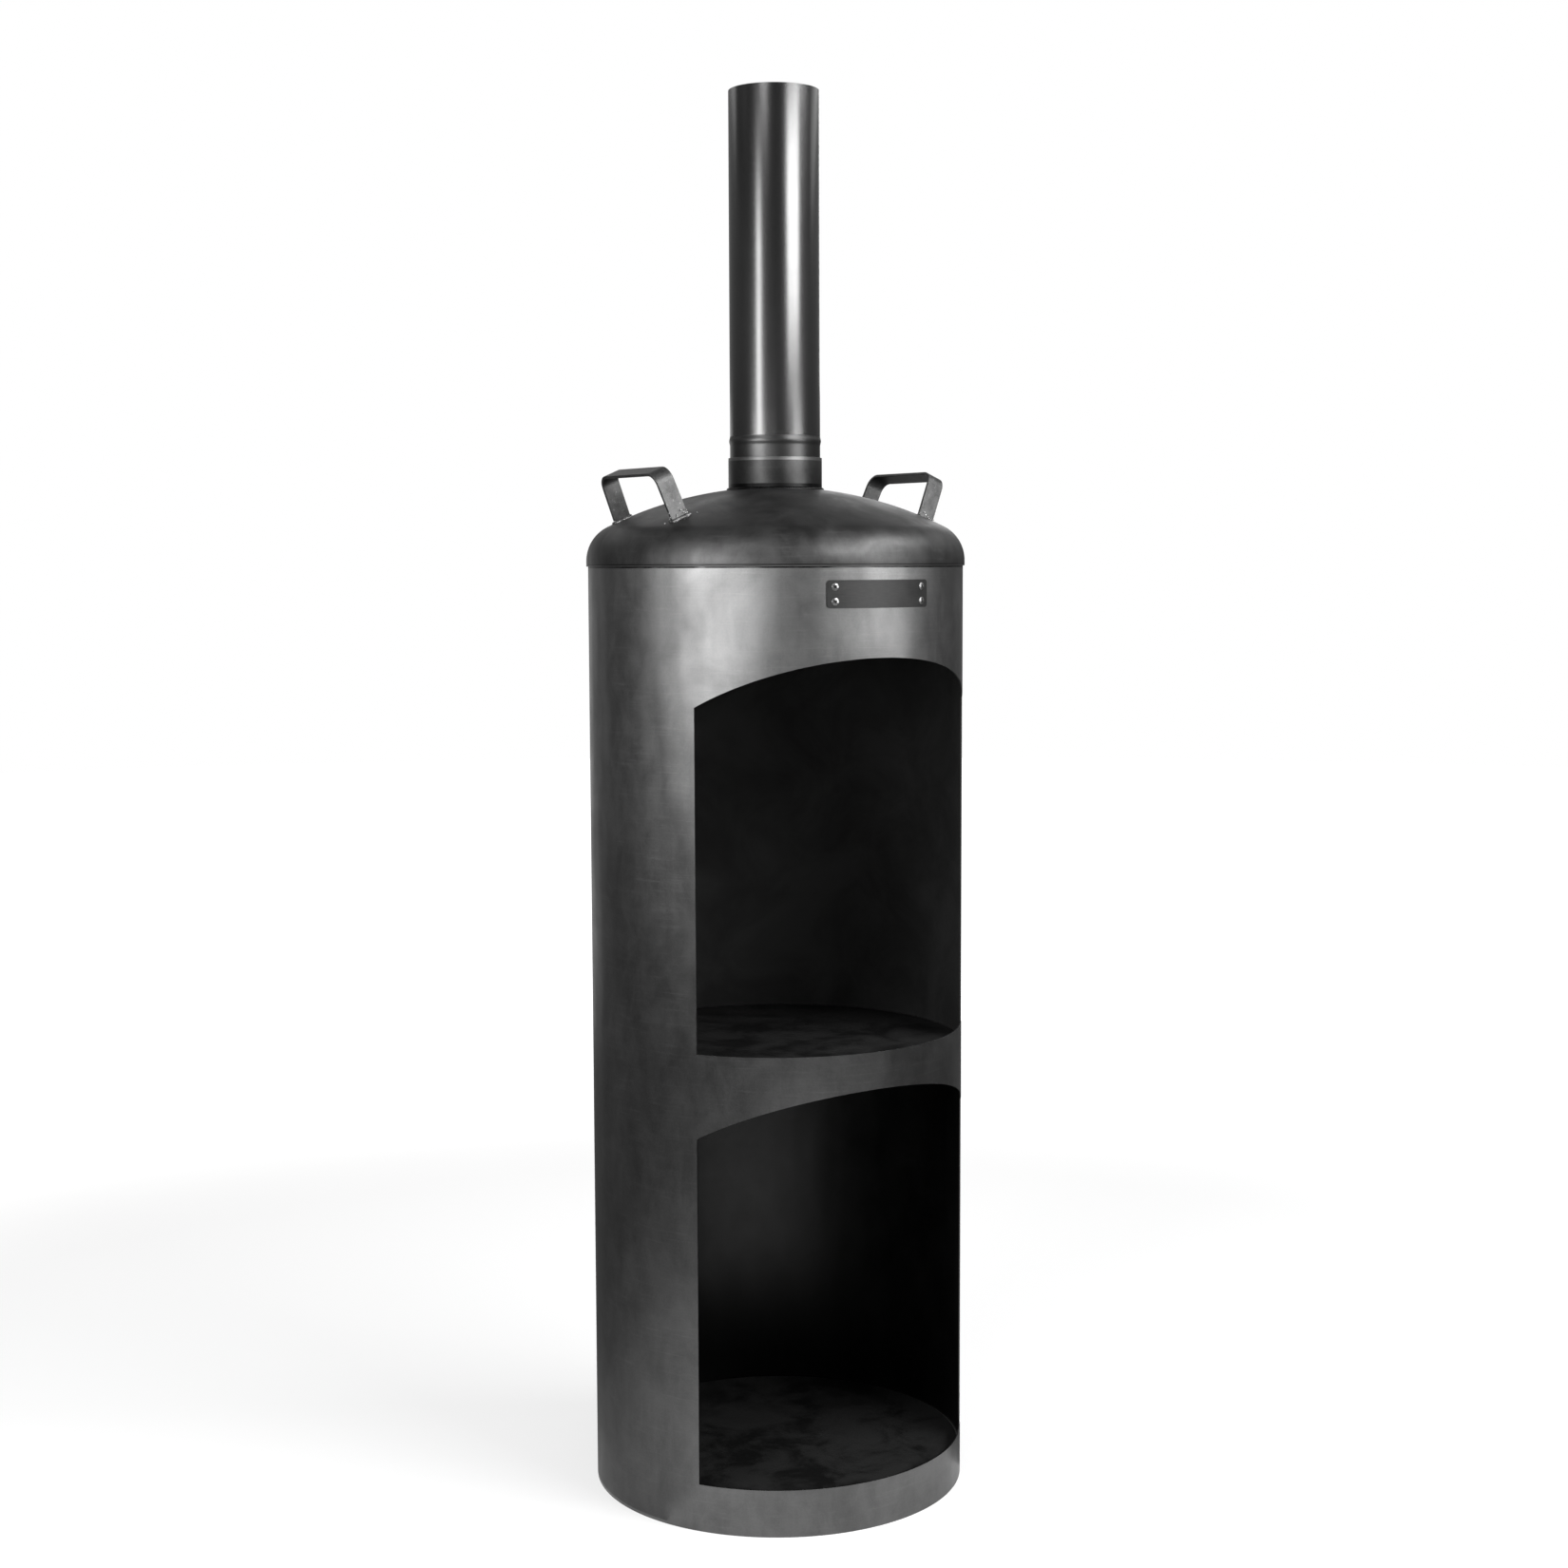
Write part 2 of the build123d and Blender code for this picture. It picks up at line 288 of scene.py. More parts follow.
def cloth_sheet(form, start, corners, sweep):
    """A run of cloth through these (reach, height) corners, swept round the cloth's middle."""
    points = []
    for reach, height in corners:
        points.append(form.verts.new(CLOTH_MIDDLE + start * reach + Vector((0, 0, height))))
    edges = [form.edges.new(pair) for pair in zip(points, points[1:])]
    bmesh.ops.spin(
        form,
        geom=points + edges,
        cent=CLOTH_MIDDLE,
        axis=(0, 0, 1),
        angle=radians(sweep),
        steps=CLOTH_STEPS,
        use_merge=sweep == 360,
    )


def hang(name, level, *sheets):
    """Cloth that only a gloss sees, not the camera and not the light on the floor. Each sheet is
    its first azimuth, the degrees that it sweeps and its corners."""
    form = bmesh.new()
    for azimuth, sweep, corners in sheets:
        cloth_sheet(form, around(azimuth, 1, 0), corners, sweep)
    cloth = new_piece(name, form)
    grey = Finish(name)
    values = {0: grey.place, 1: LIT_SPOT}
    reach = grey.node("VectorMath", {"operation": "DISTANCE"}, values, out="Value")
    lit = (1 - reach.step(LIT_START, LIT_END)) * LIT_LEVEL + level
    cloth.data.materials.append(grey.surface(grey.node("Emission", values={"Color": lit})))
    hide_from(cloth, "camera", "shadow", "diffuse")


ground = [(CLOTH_START, CLOTH_FOOT), (CLOTH_REACH, CLOTH_FOOT)]
low = [(CLOTH_REACH, CLOTH_FOOT), (CLOTH_REACH, CLOTH_SPLIT)]
high = [(CLOTH_REACH, CLOTH_SPLIT), (CLOTH_REACH, CLOTH_CREST)]
shoulder = [(SHOULDER_REACH, SHOULDER_LOW), (SHOULDER_REACH, SHOULDER_HIGH)]
crest = [(CLOTH_REACH, CLOTH_CREST), (CLOTH_REACH, CLOTH_TURN)]
roof = [(CLOTH_REACH, CLOTH_TURN), (CLOTH_REACH, CLOTH_TOP), (ROOF_END, CLOTH_TOP)]
grey_runs = [(0, 360, ground), (-142, 322, low), (-125, 250, crest), (-90, 180, roof)]
hang("grey_cloth", CLOTH_LEVEL, *grey_runs)
hang("high_cloth", HIGH_LEVEL, (0, 360, high))
hang("shoulder_cloth", SHOULDER_LEVEL, (173, 12, shoulder))
hang("pale_cloth", PALE_LEVEL, (180, 38, low))
hang("crest_cloth", CREST_LEVEL, (125, 110, crest))
hang("roof_cloth", ROOF_LEVEL, (90, 180, roof))

# ---- Shell ----
# One sheet of 2 mm hot-rolled steel. The two arched openings are cut while it is flat,
# then it is rolled to a tube. The mill scale stays on: dark, satin, softly clouded.

SHELL_RADIUS = 0.250
SHELL_HEIGHT = 1.252
SHELL_SHEET = 0.002
SHELL_COLUMN = 0.0066         # how wide its facets are
SEAM_GAP = 0.0015
OPENING_HALF_ANGLE = 56.6     # degrees from the middle of an opening to its side
ARCH_RADIUS = 0.530           # in the flat sheet
FIRE_SILL = 0.624
FIRE_APEX = 1.125
STORE_SILL = 0.062
STORE_APEX = 0.576
CUT_EDGE = 0.0004             # the cut edges are deburred by this much
SAME_SPOT = 1e-6              # points nearer than this are one
LIP_SHADE = 0.1               # the line in the cap's shadow, beside the sheet's tone
LIP_SHADE_DROP = 0.0022       # from the cap's lip down to its end
LIP_SHADE_RISE = 0.004        # and up to its end, under the cap


def arched_outline(sill, apex, steps=60):
    """One opening in the flat sheet: along the sheet in x, up it in z."""
    half = SHELL_RADIUS * radians(OPENING_HALF_ANGLE)
    along = [half * (1 - 2 * step / steps) for step in range(steps + 1)]
    arch = [(x, apex - ARCH_RADIUS + sqrt(ARCH_RADIUS**2 - x**2)) for x in along]
    return [(-half, sill), (half, sill)] + arch


def closed_outline(form, corners):
    """Corners joined in a ring."""
    corners = [form.verts.new(corner) for corner in corners]
    for one, two in zip(corners, corners[1:] + corners[:1]):
        form.edges.new((one, two))
    return corners


def flat_sheet(*outlines):
    """A flat sheet inside the first outline, with the others cut out of it."""
    form = bmesh.new()
    for outline in outlines:
        closed_outline(form, [(x, 0, z) for x, z in outline])
    bmesh.ops.triangle_fill(form, use_beauty=True, edges=form.edges[:], normal=(0, -1, 0))
    return form


def rolled(form, radius, column):
    """Rolls a flat sheet round the stove's axis, its face outwards, in columns this wide."""
    edge = max(vert.co.x for vert in form.verts)
    count = int(2 * edge / column)
    for step in range(1, count):
        bmesh.ops.bisect_plane(
            form,
            geom=form.verts[:] + form.edges[:] + form.faces[:],
            plane_co=(edge * (2 * step / count - 1), 0, 0),
            plane_no=(1, 0, 0),
            dist=SAME_SPOT,
        )
    for vert in form.verts:
        angle = vert.co.x / radius
        vert.co = Vector((radius * sin(angle), -radius * cos(angle), vert.co.z))
    form.normal_update()
    for face in form.faces:
        middle = face.calc_center_median()
        if face.normal.x * middle.x + face.normal.y * middle.y < 0:
            face.normal_flip()
    return form


def ease_edges(piece, name, width, segments, sharper_than):
    """Eases the edges of a piece that turn by more than this many degrees."""
    eased = piece.modifiers.new(name, "BEVEL")
    eased.width = width
    eased.segments = segments
    eased.limit_method = "ANGLE"
    eased.angle_limit = radians(sharper_than)
    eased.harden_normals = True


def thicken(piece, sheet, cut_edge):
    """Gives a sheet its thickness inwards, and eases its cut edges."""
    solid = piece.modifiers.new("sheet", "SOLIDIFY")
    solid.thickness = sheet
    solid.offset = -1
    ease_edges(piece, "eased_edges", cut_edge, segments=2, sharper_than=50)


SCALE_DARK = 0.72             # beside the tone that a piece is given
SCALE_LIGHT = 1.34
BAND_EDGE = 0.0004            # a band fades in over this height
PAST_END = 0.01               # a band that takes in the end of a piece runs this far past it
# painted shade round the flue hole: the collar's shade and reflection, and smoke
SMOKE_AND_SHADE_DARK = 0.15
SMOKE_AND_SHADE_FADE = 0.018            # the edge of the smoke and painted shade is this wide
SOOT_DARK = 0.009
SOOT_LIGHT = 0.017
SOOT_ROUGH = 0.85
SOOT_EDGE = 0.0005
STORE_PAINTED_SHADE = 0.21            # painted shade in the log store: below the soot, the inner wall's tone beside the bare sheet's
STORE_EDGE = 0.004
SHEEN = 0.15                  # specular level of the scale's own surface


def band(low, high, shade, dulled=0.0):
    """Heights between which steel takes another shade of its tone and gets rougher."""
    return low, high, shade, dulled


def mill_scale(
    name,
    tone,
    gloss,
    clouds=1.0,
    scuffs=1.0,
    waves=1.0,
    drawn=0.0,
    soot_inside=None,
    soot_above=None,
    smoke_and_shade_within=None,
    bands=(),
):
    """Hot-rolled steel: dark, softly clouded, drawn and scuffed a little, and not quite true.

    Tone is its middle grey and gloss its middle roughness. Clouds, scuffs and waves are how
    much of each it has, and drawn is how far its gloss runs one way. Soot lies nearer to the
    axis than soot_inside and above soot_above; below soot_above that inner face is darkened as
    painted shade. Within smoke_and_shade_within it is darkened for smoke and as painted shade
    and reflection. Each of its bands is made by band().
    """
    skin = Finish(name)
    cloud = skin.noise(9.0, 5.0, 0.62, distortion=0.6)
    patch = skin.noise(26.0, 5.0, 0.65, stretch=(1.0, 1.0, 0.6), distortion=0.4)
    streak = skin.noise(95.0, 4.0, 0.6, stretch=(1.0, 1.0, 0.07))
    scuff = skin.noise(14.0, 6.0, 0.72, stretch=(1.0, 1.0, 24.0)).step(0.52, 0.74) * scuffs
    grain = skin.noise(420.0, 3.0, 0.6)
    wave = skin.noise(9.0, 2.0, 0.45, stretch=(1.0, 1.0, 0.22))
    share = cloud.swing(clouds) + patch.swing(0.7 * clouds) + streak.swing(0.16) + grain.swing(0.3)
    share = share + scuff * 0.22 + 0.46
    colour = skin.tint(share.step(0.0, 1.0), tone * SCALE_DARK, tone * SCALE_LIGHT)
    rough = cloud.swing(-0.20 * clouds) + patch.swing(0.16 * clouds) + scuff * 0.05
    rough = rough + grain.swing(0.06) + gloss
    metallic = 1.0
    level_spot = {0: skin.place, 1: (1.0, 1.0, 0.0)}
    level_spot = skin.node("VectorMath", {"operation": "MULTIPLY"}, level_spot)
    reach = skin.node("VectorMath", {"operation": "LENGTH"}, {0: level_spot}, out="Value")
    height = skin.node("SeparateXYZ", values={0: skin.place}, out="Z")
    for low, high, shade, dulled in bands:
        inside = height.step(low, low + BAND_EDGE) - height.step(high - BAND_EDGE, high)
        uneven = 0.6 + 0.4 * patch.step(0.3, 0.6)
        colour = skin.tint(inside * uneven, colour, tone * shade)
        rough = rough + inside * dulled
    # painted shade round the flue: darkened for smoke and for the collar's shade and reflection
    if smoke_and_shade_within:
        smoke_and_shade = 1 - reach.step(smoke_and_shade_within - SMOKE_AND_SHADE_FADE, smoke_and_shade_within)
        colour = skin.tint(smoke_and_shade * (0.75 + 0.4 * cloud), colour, tone * SMOKE_AND_SHADE_DARK)
    if soot_inside:
        inside = 1 - reach.step(soot_inside - SOOT_EDGE, soot_inside)
        store = 1 - height.step(soot_above - STORE_EDGE, soot_above)
        # painted shade: below the hearth, the inside of the sheet (the log store's wall) is
        # darkened
        colour = skin.tint(inside * store, colour, tone * STORE_PAINTED_SHADE)
        soot = inside * (1 - store)
        colour = skin.tint(soot, colour, skin.tint(cloud.step(0.3, 0.7), SOOT_DARK, SOOT_LIGHT))
        rough = rough + soot * (SOOT_ROUGH - gloss)
        metallic = 1 - soot
    waved = skin.bump(1.0, 0.0065 * waves, wave)
    scaled = skin.bump(0.35, 0.00006, grain + streak + scuff * 0.5, under=waved)
    return skin.metal(
        {
            "Base Color": colour,
            "Roughness": rough,
            "Metallic": metallic,
            "Specular IOR Level": SHEEN,
            "Anisotropic": drawn,
            "Normal": scaled,
        }
    )


cap_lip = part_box("dome_cap")[0].z
hearth_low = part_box("hearth_plate")[0].z
sheet_edge = pi * SHELL_RADIUS - SEAM_GAP / 2
form = flat_sheet(
    [(-sheet_edge, 0), (sheet_edge, 0), (sheet_edge, SHELL_HEIGHT), (-sheet_edge, SHELL_HEIGHT)],
    arched_outline(FIRE_SILL, FIRE_APEX),
    arched_outline(STORE_SILL, STORE_APEX),
)
shell = new_piece("rolled_shell", rolled(form, SHELL_RADIUS, SHELL_COLUMN))
thicken(shell, SHELL_SHEET, CUT_EDGE)
shell_finish = mill_scale(
    "shell_mill_scale",
    tone=0.118,
    gloss=0.37,
    drawn=0.65,
    soot_inside=SHELL_RADIUS - CUT_EDGE,
    soot_above=hearth_low,
    bands=[band(cap_lip - LIP_SHADE_DROP, cap_lip + LIP_SHADE_RISE, LIP_SHADE)],
)
shell.data.materials.append(shell_finish)
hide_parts("body_shell")
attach(shell, "stove_body")

# ---- Seam weld ----
# The butt joint up the back of the shell, welded from outside: a low even bead with close
# ripples, ground flush from just below the cap's lip, so that the cap slips on.

SEAM_WIDTH = 0.005
SEAM_CROWN = 0.00095
SEAM_RIPPLE = 0.0021          # from one ripple to the next
SEAM_RIPPLE_RISE = 0.13       # how high they stand, beside the crown
SEAM_BOW = 0.0012             # how far they bend
SEAM_SWAY = 0.0002            # how far its middle wanders
SEAM_SINK = 0.0001            # its edges lie this far inside the shell's face
SEAM_STOP = 0.0044            # below the cap's lip
SWAY_COUNT = 60


def weld_metal(name, tone, gloss):
    """Bare weld: lighter and darker grey, with fine pits."""
    skin = Finish(name)
    patch = skin.noise(130.0, 4.0, 0.6)
    pits = skin.noise(900.0, 3.0, 0.6)
    colour = skin.tint(patch.step(0.32, 0.70), tone * 0.55, tone * 1.7)
    rough = pits.swing(0.3) + gloss
    bump = skin.bump(0.5, 0.0002, pits)
    return skin.metal({"Base Color": colour, "Roughness": rough, "Normal": bump})


def coated(name, finish):
    """A CAD node with this finish instead of its own."""
    node = nodes[name]
    node.data.materials.clear()
    node.data.materials.append(finish)
    return node


seam_top = cap_lip - SEAM_STOP
form = bmesh.new()
bmesh.ops.create_grid(form, x_segments=8, y_segments=900, size=0.5)
dice = random.Random(5)
sway = [dice.uniform(-SEAM_SWAY, SEAM_SWAY) for _ in range(SWAY_COUNT)]
for vert in form.verts:
    across, along = 2 * vert.co.x, vert.co.y + 0.5
    height = seam_top * along
    ripple = sin(2 * pi * (height + SEAM_BOW * across**2) / SEAM_RIPPLE)
    drift = sway[int(along * (SWAY_COUNT - 1))] * (1 - abs(across))
    rise = SEAM_CROWN * (1 - across**2) * (1 + SEAM_RIPPLE_RISE * ripple)
    proud = max(0.0, rise) - SEAM_SINK
    angle = (across * SEAM_WIDTH / 2 + drift) / SHELL_RADIUS
    out = Vector((sin(angle), cos(angle), 0))
    vert.co = out * (SHELL_RADIUS + proud) + Vector((0, 0, height))
bmesh.ops.recalc_face_normals(form, faces=form.faces[:])
seam = new_piece("seam_bead", form, smooth_to=60)
weld_finish = weld_metal("bare_weld", tone=0.15, gloss=0.40)
seam.data.materials.append(weld_finish)
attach(seam, "stove_body")
coated("shell_seam_weld", weld_finish)

# ---- Hearth, store floor and lugs ----
# Plain round plates that lie loose on short lengths of angle inside the shell. They are
# plate steel, dulled by soot above and by bark dust below.


def sooted_plate(name, tone, gloss):
    """Inside plate: nearly matt, with soot that lies in patches."""
    skin = Finish(name)
    patch = skin.noise(14.0, 6.0, 0.65, distortion=0.4)
    dust = skin.noise(300.0, 3.0, 0.6)
    lying = patch.step(0.38, 0.66)
    return skin.metal(
        {
            "Base Color": skin.tint(lying, tone, tone * 0.45),
            "Roughness": lying * 0.14 + dust.swing(0.12) + gloss,
            "Metallic": 1 - lying,
            "Specular IOR Level": 0.2,
            "Normal": skin.bump(0.5, 0.0003, dust + patch),
        }
    )


inner_finish = sooted_plate("sooted_plate", tone=0.02, gloss=0.66)
inner_names = ["hearth_plate", "store_floor"]
inner_names += [f"{floor}_lug_{count}" for floor in ("hearth", "floor") for count in (1, 2, 3, 4)]
for name in inner_names:
    coated(name, inner_finish)

# ---- Cap ----
# A dished end pressed from 2 mm sheet: a broad crown, a rolled knuckle and a short skirt
# that slips over the shell's rim. Its lip has a painted highlight with a darker band above
# it, and round the hole in its crown it is darkened for smoke and as painted shade.

CAP_SHEET = 0.002
CAP_RADIUS = 0.2523
CAP_EDGE = 0.0006             # the eased corners of its lip
SKIRT_HEIGHT = 0.007
KNUCKLE_RADIUS = 0.0504
CROWN_RADIUS = 0.504
FLUE_HOLE = 0.055
CAP_SMOKE_AND_SHADE = 0.074             # the smoke and painted shade reach this far from the axis
LIP_PAINTED_HIGHLIGHT = 0.0016           # up to here the lip is lighter: a painted highlight
LIP_DARK = 0.0032             # and dark from there to here
cap_tangent = cap_lip + SKIRT_HEIGHT
crown_angle = asin((CAP_RADIUS - KNUCKLE_RADIUS) / (CROWN_RADIUS - KNUCKLE_RADIUS))
crown_centre = cap_tangent - (CROWN_RADIUS - KNUCKLE_RADIUS) * cos(crown_angle)


def crown_height(radius):
    """The height of the crown's outer face this far from the axis."""
    return crown_centre + sqrt(CROWN_RADIUS**2 - radius**2)


def arc(middle, height, radius, start, end, steps):
    """Points of a half-section arc; angles in radians up from the outward direction."""
    turns = [start + (end - start) * step / steps for step in range(steps + 1)]
    return [(middle + radius * cos(turn), height + radius * sin(turn)) for turn in turns]


def turned(outline, steps, ease=0.0, eased=()):
    """A closed half section (radius, height) spun round the axis, chosen corners eased first."""
    form = bmesh.new()
    corners = closed_outline(form, [(reach, 0, height) for reach, height in outline])
    if ease:
        bmesh.ops.bevel(
            form,
            geom=[corners[place] for place in eased],
            offset=ease,
            segments=3,
            profile=0.5,
            affect="VERTICES",
            material=-1,
        )
    bmesh.ops.spin(
        form,
        geom=form.verts[:] + form.edges[:],
        cent=(0, 0, 0),
        axis=(0, 0, 1),
        angle=2 * pi,
        steps=steps,
        use_merge=True,
    )
    bmesh.ops.remove_doubles(form, verts=form.verts[:], dist=SAME_SPOT)
    bmesh.ops.recalc_face_normals(form, faces=form.faces[:])
    return form


def cap_face(inset):
    """One face of the cap from its lip to the flue hole."""
    bend = pi / 2 - crown_angle
    hole = acos(FLUE_HOLE / (CROWN_RADIUS - inset))
    middle = CAP_RADIUS - KNUCKLE_RADIUS
    knuckle = arc(middle, cap_tangent, KNUCKLE_RADIUS - inset, 0, bend, steps=28)
    crown = arc(0, crown_centre, CROWN_RADIUS - inset, bend, hole, steps=24)
    return [(CAP_RADIUS - inset, cap_lip)] + knuckle + crown[1:]


outside = cap_face(0)
inside = cap_face(CAP_SHEET)
outline = outside + inside[::-1]
lip_corners = (0, len(outline) - 1)
form = turned(outline, steps=240, ease=CAP_EDGE, eased=lip_corners)
dome = new_piece("dished_cap", form, smooth_to=40)
cap_finish = mill_scale(
    "cap_mill_scale",
    tone=0.064,
    gloss=0.48,
    clouds=2.0,
    scuffs=1.5,
    waves=0.5,
    smoke_and_shade_within=CAP_SMOKE_AND_SHADE,
    bands=[
        # a painted highlight along the lip, and a darker band just above it
        band(cap_lip - PAST_END, cap_lip + LIP_PAINTED_HIGHLIGHT, shade=1.7),
        band(cap_lip + LIP_PAINTED_HIGHLIGHT, cap_lip + LIP_DARK, shade=0.25),
    ],
)
dome.data.materials.append(cap_finish)
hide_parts("dome_cap")
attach(dome, "cap")

# ---- Flue collar ----
# A short ring of 2 mm tube. Its foot is cut to the cap's crown and welded to it all round,
# and it carries a painted reflection of the dark crown. The top of its outer face is lighter.

COLLAR_RADIUS = 0.0623
COLLAR_WALL = 0.002
COLLAR_EDGE = 0.0005          # the eased corners of its upper edge
COLLAR_SINK = 0.001           # its foot goes this far into the crown's sheet
COLLAR_PAINTED_REFLECTION = 0.0075          # painted reflection of the dark crown: the collar is dark up to here above the crown
COLLAR_BRIGHT = 0.0045        # and bright from here below its upper edge
COLLAR_LEG = 0.003            # of its weld
collar_bore = COLLAR_RADIUS - COLLAR_WALL
collar_low = crown_height(COLLAR_RADIUS)
collar_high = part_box("flue_collar")[1].z
outline = [
    (COLLAR_RADIUS, collar_low - COLLAR_SINK),
    (COLLAR_RADIUS, collar_high),
    (collar_bore, collar_high),
    (collar_bore, crown_height(collar_bore) - COLLAR_SINK / 2),
]
form = turned(outline, steps=160, ease=COLLAR_EDGE, eased=(1, 2))
collar = new_piece("collar_ring", form, smooth_to=40)
collar_finish = mill_scale(
    "collar_mill_scale",
    tone=0.046,
    gloss=0.40,
    clouds=1.4,
    waves=0.15,
    bands=[
        # painted reflection of the dark crown on the collar's foot
        band(collar_low - PAST_END, collar_low + COLLAR_PAINTED_REFLECTION, shade=0.15),
        band(collar_high - COLLAR_BRIGHT, collar_high + PAST_END, shade=2.8),
    ],
)
collar.data.materials.append(collar_finish)
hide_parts("flue_collar")
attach(collar, "cap")

BEAD_SIZE = 0.93              # of a bead, beside its leg
BEAD_SWELL = 0.10             # how much it swells and shrinks on its way
BEAD_RIPPLE = 0.07            # how high its ripples stand
BEAD_LAG = 0.9                # how far they bend back in its middle, in radians
SWELL_COUNT = 24


def fillet_weld(name, corner, leg, count, ripples, seed, finish):
    """A bead round a closed corner. corner(share) gives its spot, the way out along one face
    and the way up the other; the bead ripples this many times on its way round."""
    form = bmesh.new()
    bmesh.ops.create_grid(form, x_segments=count, y_segments=6, size=0.5)
    dice = random.Random(seed)
    swell = [dice.uniform(-1, 1) for _ in range(SWELL_COUNT)]
    for vert in form.verts:
        share, turn = vert.co.x + 0.5, (vert.co.y + 0.5) * pi / 2
        spot, out, up = corner(share % 1.0)
        nth, part = divmod(share * SWELL_COUNT, 1)
        before, after = swell[int(nth) % SWELL_COUNT], swell[(int(nth) + 1) % SWELL_COUNT]
        uneven = before * (1 - part) + after * part
        wave = sin(2 * pi * ripples * share + BEAD_LAG * sin(2 * turn)) * sin(2 * turn)
        reach = leg * (BEAD_SIZE + BEAD_SWELL * uneven + BEAD_RIPPLE * wave)
        vert.co = spot + (out * cos(turn) + up * sin(turn)) * reach
    bmesh.ops.remove_doubles(form, verts=form.verts[:], dist=2 * SAME_SPOT)
    bmesh.ops.recalc_face_normals(form, faces=form.faces[:])
    bead = new_piece(name, form, smooth_to=70)
    bead.data.materials.append(finish)
    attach(bead, "cap")
    return bead


def round_collar(share):
    """The corner between the collar and the crown."""
    turn = 2 * pi * share
    out = Vector((cos(turn), sin(turn), 0))
    slope = -COLLAR_RADIUS / sqrt(CROWN_RADIUS**2 - COLLAR_RADIUS**2)
    spot = out * COLLAR_RADIUS + Vector((0, 0, collar_low))
    return spot, (out + Vector((0, 0, slope))).normalized(), Vector((0, 0, 1))


collar_bead = fillet_weld(
    "collar_bead", round_collar, COLLAR_LEG, count=900, ripples=150, seed=11, finish=collar_finish
)

# ---- Flue pipe ----
# Drawn stove pipe, smooth and fairly glossy, with a bead rolled near its lower end where
# it would stop in the next length. It stands loose in the collar.

PIPE_RADIUS = 0.060
PIPE_WALL = 0.0015
PIPE_EDGE = 0.0003            # the eased corners of both ends
PIPE_BEAD = 0.0635            # from its foot to the middle of its bead
BEAD_HALF = 0.00675           # from there to where the bead fades out
BEAD_RISE = 0.0011
BEAD_STEPS = 8                # from its middle to each end
pipe_low, pipe_high = (corner.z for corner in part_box("flue_pipe"))
bead_middle = pipe_low + PIPE_BEAD


def pipe_face(radius):
    """One face of the pipe from foot to top, with the round bead in it."""
    bead = []
    for step in range(-BEAD_STEPS, BEAD_STEPS + 1):
        share = step / BEAD_STEPS
        rise = BEAD_RISE * 0.5 * (1 + cos(pi * share))
        bead.append((radius + rise, bead_middle + BEAD_HALF * share))
    return [(radius, pipe_low)] + bead + [(radius, pipe_high)]


outside = pipe_face(PIPE_RADIUS)
inside = pipe_face(PIPE_RADIUS - PIPE_WALL)
outline = outside + inside[::-1]
end_corners = (0, len(outside) - 1, len(outside), len(outline) - 1)
form = turned(outline, steps=200, ease=PIPE_EDGE, eased=end_corners)
pipe = new_piece("stove_pipe", form, smooth_to=40)
pipe_finish = mill_scale(
    "pipe_steel",
    tone=0.10,
    gloss=0.24,
    clouds=0.2,
    scuffs=0.12,
    waves=0.06,
    bands=[band(pipe_low - PAST_END, bead_middle + BEAD_HALF, shade=0.6, dulled=0.14)],
)
pipe.data.materials.append(pipe_finish)
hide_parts("flue_pipe")
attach(pipe, "flue")

# ---- Handles ----
# Steel flat bar, 25 by 4 mm, bent to a U with a foot cut to the crown at each end. A small
# fillet weld goes round each foot, and drops of weld spatter stick beside it.

BAR_WIDTH = 0.025
BAR_THICKNESS = 0.004
BAR_EDGE = 0.0007             # radius of its rolled edges
FOOT_SPAN = 0.154             # over the outsides of the feet
TOP_SPAN = 0.146              # and of the bends
HANDLE_HEIGHT = 0.060
HANDLE_BEND = 0.014           # inside radius
HANDLE_INSET = 0.0593         # from the cap's outside to the middle of the bar
FOOT_SPARE = 0.012            # this much more leg is bent than stays
FOOT_SINK = 0.0008            # the foot goes this far into the crown's sheet
HANDLE_LEG = 0.003            # of the welds
BEAD_SINK = 0.0002            # the weld starts this far inside the crown's face
BEAD_TURN = 0.0012            # and begins to turn this far before a corner of the foot
SPATTER_COUNT = 46            # drops at each foot
SPATTER_REACH = 0.009         # beyond the bead
SPATTER_SIZES = 0.0003, 0.0011          # radius of the smallest drop and of the largest
handle_offset = CAP_RADIUS - HANDLE_INSET
handle_lean = asin(handle_offset / CROWN_RADIUS)
foot_x = (FOOT_SPAN - BAR_THICKNESS) / 2
grip_x = (TOP_SPAN - BAR_THICKNESS) / 2
grip_y = HANDLE_HEIGHT - BAR_THICKNESS / 2


def handle_frame(side):
    """Places a handle's own plane: x along the grip, y away from the crown. side is 1 or -1."""
    up = Vector((side * sin(handle_lean), 0, cos(handle_lean)))
    along = Vector((0, 1, 0))
    spot = Vector((side * handle_offset, 0, crown_height(handle_offset)))
    turn = Matrix((along, up, along.cross(up))).transposed()
    return Matrix.Translation(spot) @ turn.to_4x4()


def handle_foot(side, end):
    """Where the middle of one foot meets the crown, which falls away along the grip."""
    drop = CROWN_RADIUS - sqrt(CROWN_RADIUS**2 - foot_x**2)
    reach = foot_x + drop * (foot_x - grip_x) / grip_y
    return handle_frame(side) @ Vector((end * reach, -drop, 0))


def crown_normal(spot):
    """The way straight out of the crown at this spot."""
    return (spot - Vector((0, 0, crown_centre))).normalized()


